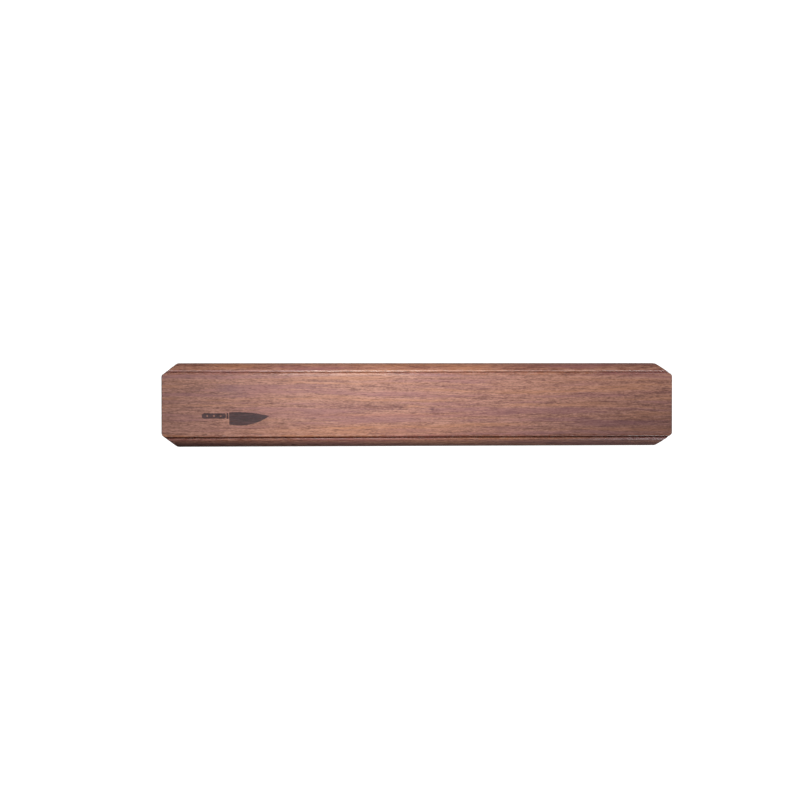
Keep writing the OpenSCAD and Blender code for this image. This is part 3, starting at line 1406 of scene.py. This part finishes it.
@dataclass
class MagnetRows(SubAssembly):
    """Two rows of block magnets, each on its steel strip."""

    magnet_edge: float = 0.35 * MM
    strip_edge: float = 0.2 * MM
    count: int = 12

    def build(self) -> None:
        """Models one magnet, copies it along both rows, and models the strips."""
        low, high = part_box("magnet_lower_1")
        pattern = block("magnet_pattern", low, high)
        ease(pattern, self.magnet_edge, 3)
        polish(pattern)
        pattern.data.materials.append(self.finishes.nickel)
        for row in Row:
            for number in range(1, self.count + 1):
                node = f"magnet_{row.word}_{number}"
                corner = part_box(node)[0]
                move = tuple(a - b for a, b in zip(corner, low, strict=True))
                magnet = duplicate(pattern, f"block_{row.word}_{number}", move)
                hand_over(magnet, "nickel_plate", node)
        bpy.data.meshes.remove(pattern.data)
        for row in Row:
            node = f"yoke_{row.word}"
            strip = block(f"strip_{row.word}", *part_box(node))
            ease(strip, self.strip_edge, 2)
            polish(strip)
            strip.data.materials.append(self.finishes.steel)
            hand_over(strip, "plain_steel", node)


@dataclass
class Hangers(SubAssembly):
    """The two keyhole plates and every screw in the back."""

    corner: float = 2.9 * MM
    slot_width: float = 4.6 * MM
    arris: float = 0.18 * MM

    def build(self) -> None:
        """Models plates and screws."""
        for side in Side:
            self.plate(side)
        places, finishes = self.fixings, self.finishes
        self.screws("panel_screw", PANEL_SCREW, places.panel_places, finishes.brass, "brass")
        self.screws("plate_screw", PLATE_SCREW, places.plate_places, finishes.bright, "zinc_plate")

    def plate(self, side: Side) -> None:
        """Models one keyhole plate.

        Args:
            side: Which end of the bar it is for.
        """
        node = f"keyhole_plate_{side.word}"
        box = Box.of(node)
        entry = self.fixings.entries[side]
        seat_z = entry[2] + self.fixings.seat_rise
        plate = outline_plate(f"hanger_{side.word}", box.middle, box.size[0], box.size[2],
                              box.low[1], box.high[1], self.corner, 6)
        near, far = box.low[1] - OVERRUN, box.high[1] + OVERRUN
        width = self.slot_width
        height = seat_z - entry[2] + width
        middle = (entry[0], 0, (entry[2] + seat_z) / 2)
        cutters = [
            rod("entry", entry, self.fixings.entry_radius, near, far),
            outline_plate("slot", middle, width, height, near, far, width / 2 - CLOSE, 12),
        ]
        shape(plate, cutters, Cut.AWAY)
        places = [at for at in self.fixings.plate_places if box.low[0] < at[0] < box.high[0]]
        shape(plate, [PLATE_SCREW.hole(at, box.high[1]) for at in places], Cut.AWAY)
        face_out(plate)
        ease(plate, self.arris, 2, 50)
        polish(plate)
        plate.data.materials.append(self.finishes.zinc)
        hand_over(plate, "zinc_plate", node)

    def screws(self, name: str, screw: Screw, places: Sequence[Place], finish: bpy.types.Material,
               slot: str) -> None:
        """Models one screw and copies it to every place.

        Args:
            name: Start of the pieces' names.
            screw: The screw's sizes.
            places: Points on the screws' axes.
            finish: The screws' finish.
            slot: The record's material slot.
        """
        pattern = screw.build(f"{name}_pattern", self.fixings.back)
        pattern.data.materials.append(finish)
        for number, at in enumerate(places, 1):
            piece = duplicate(pattern, f"{name}_{number}", (at[0], 0, at[2]))
            hand_over(piece, slot, f"{name}s")
        bpy.data.meshes.remove(pattern.data)


@dataclass
class FoamPads(SubAssembly):
    """Three thin foam pads that lie on the wall."""

    corner: float = 4 * MM
    edge: float = 0.25 * MM

    def build(self) -> None:
        """Models the pads."""
        for place in ("left", "middle", "right"):
            node = f"foam_pad_{place}"
            box = Box.of(node)
            pad = outline_plate(f"wall_pad_{place}", box.middle, box.size[0], box.size[2],
                                box.low[1], box.high[1], self.corner)
            ease(pad, self.edge, 3)
            polish(pad)
            pad.data.materials.append(self.finishes.foam)
            hand_over(pad, "foam", node)


# ---------------------------------------------------------------- the studio


@dataclass
class Studio:
    """A white room with a pale floor, two lights ahead and above, and two fills, below and behind."""

    distance: float = 2.0
    width: float = 0.6225
    azimuth: float = -5.9
    elevation: float = 1.0
    aim: Place = (-0.0153, -0.02, 0.0038)
    sensor: float = 36.0
    floor_z: float = -0.45
    floor_grey: float = 0.22
    white: float = 1.15
    ambient: float = 0.12

    def build(self) -> None:
        """Makes the camera, lights, floor and surroundings."""
        self.camera()
        self.lights()
        self.floor()
        self.surroundings()

    def camera(self) -> None:
        """Places the camera ahead of the bar, a little to its left."""
        azimuth, elevation = math.radians(self.azimuth), math.radians(self.elevation)
        back = Vector((math.sin(azimuth) * math.cos(elevation), -math.cos(azimuth) * math.cos(elevation),
                       math.sin(elevation)))
        data = bpy.data.cameras.new("camera")
        data.sensor_width = self.sensor
        data.lens = self.sensor * self.distance / self.width
        camera = bpy.data.objects.new("camera", data)
        camera.location = Vector(self.aim) + back * self.distance
        camera.rotation_euler = back.to_track_quat("Z", "Y").to_euler()
        bpy.context.scene.collection.objects.link(camera)
        bpy.context.scene.camera = camera

    def soft_box(self, name: str, at: Place, target: Place, size: tuple[float, float],
                 power: float) -> None:
        """Adds a rectangular light.

        Args:
            name: The light's name.
            at: Where it hangs.
            target: What it points at.
            size: Its width and height.
            power: Its power in watts.
        """
        data = bpy.data.lights.new(name, "AREA")
        data.shape = "RECTANGLE"
        data.size, data.size_y = size
        data.energy = power
        light = bpy.data.objects.new(name, data)
        light.location = at
        light.rotation_euler = (Vector(at) - Vector(target)).to_track_quat("Z", "Y").to_euler()
        light.visible_camera = False
        bpy.context.scene.collection.objects.link(light)

    def lights(self) -> None:
        """Hangs a small key, a long strip that skims the mouldings, and a fill below and behind."""
        # Name, place, target, size and power.
        boxes = (
            ("key", (-0.035, -0.26, 0.08), (-0.035, -0.02, 0.0), (0.12, 0.06), 0.75),
            ("strip_above", (0.07, -0.49, 0.29), (0.07, -0.02, 0.02), (0.8, 0.045), 2.3),
            ("fill_below_right", (0.30, -0.22, -0.38), (0.16, -0.02, -0.03), (0.16, 0.08), 0.75),
            ("fill_behind", (0.1, 0.9, 0.0), (0.0, 0.0, 0.0), (1.1, 1.0), 8.0),
        )
        for box in boxes:
            self.soft_box(*box)

    def floor(self) -> None:
        """Lays the pale floor."""
        deselect()
        bpy.ops.mesh.primitive_plane_add(size=12, location=(0, 0, self.floor_z))
        floor = bpy.context.object
        floor.name = "floor"
        made, sheet = new_material("pale_floor")
        seen = sheet.node("LightPath").outputs["Is Camera Ray"]
        paint = sheet.node("BsdfDiffuse", {"Color": (*[self.floor_grey] * 3, 1.0)}).outputs[0]
        glow = sheet.node("Emission", {"Color": (1.0, 1.0, 1.0, 1.0), "Strength": self.white}).outputs[0]
        mixed = sheet.node("MixShader", {0: seen, 1: paint, 2: glow}).outputs[0]
        sheet.node("OutputMaterial", {0: mixed})
        floor.data.materials.append(made)

    def surroundings(self) -> None:
        """Makes the surroundings white to the camera and softer as a light."""
        scene = bpy.context.scene
        scene.view_settings.view_transform = "Standard"
        world = bpy.data.worlds.new("studio")
        world.use_nodes = True
        scene.world = world
        sheet = Sheet(world.node_tree)
        seen = sheet.node("LightPath").outputs["Is Camera Ray"]
        heading = sheet.node("SeparateXYZ", {0: sheet.node("TexCoord").outputs["Generated"]}).outputs
        ahead = sheet.ramp(heading[1], 0.2, -0.9, 0.25, 1.0)
        glowing = sheet.maths("MULTIPLY", ahead, self.ambient)
        strength = sheet.maths("MULTIPLY_ADD", seen, self.white, glowing)
        glow = sheet.node("Background", {"Color": (1.0, 1.0, 1.0, 1.0), "Strength": strength}).outputs[0]
        sheet.node("OutputWorld", {0: glow})


def main() -> None:
    """Builds the studio and the bar, from the outside in."""
    Studio().build()
    finishes = Finishes.make()
    fixings = Fixings()
    for part in (WoodenBar, BackPanel, MagnetRows, Hangers, FoamPads):
        part(fixings, finishes).build()


if __name__ == "__main__":
    main()
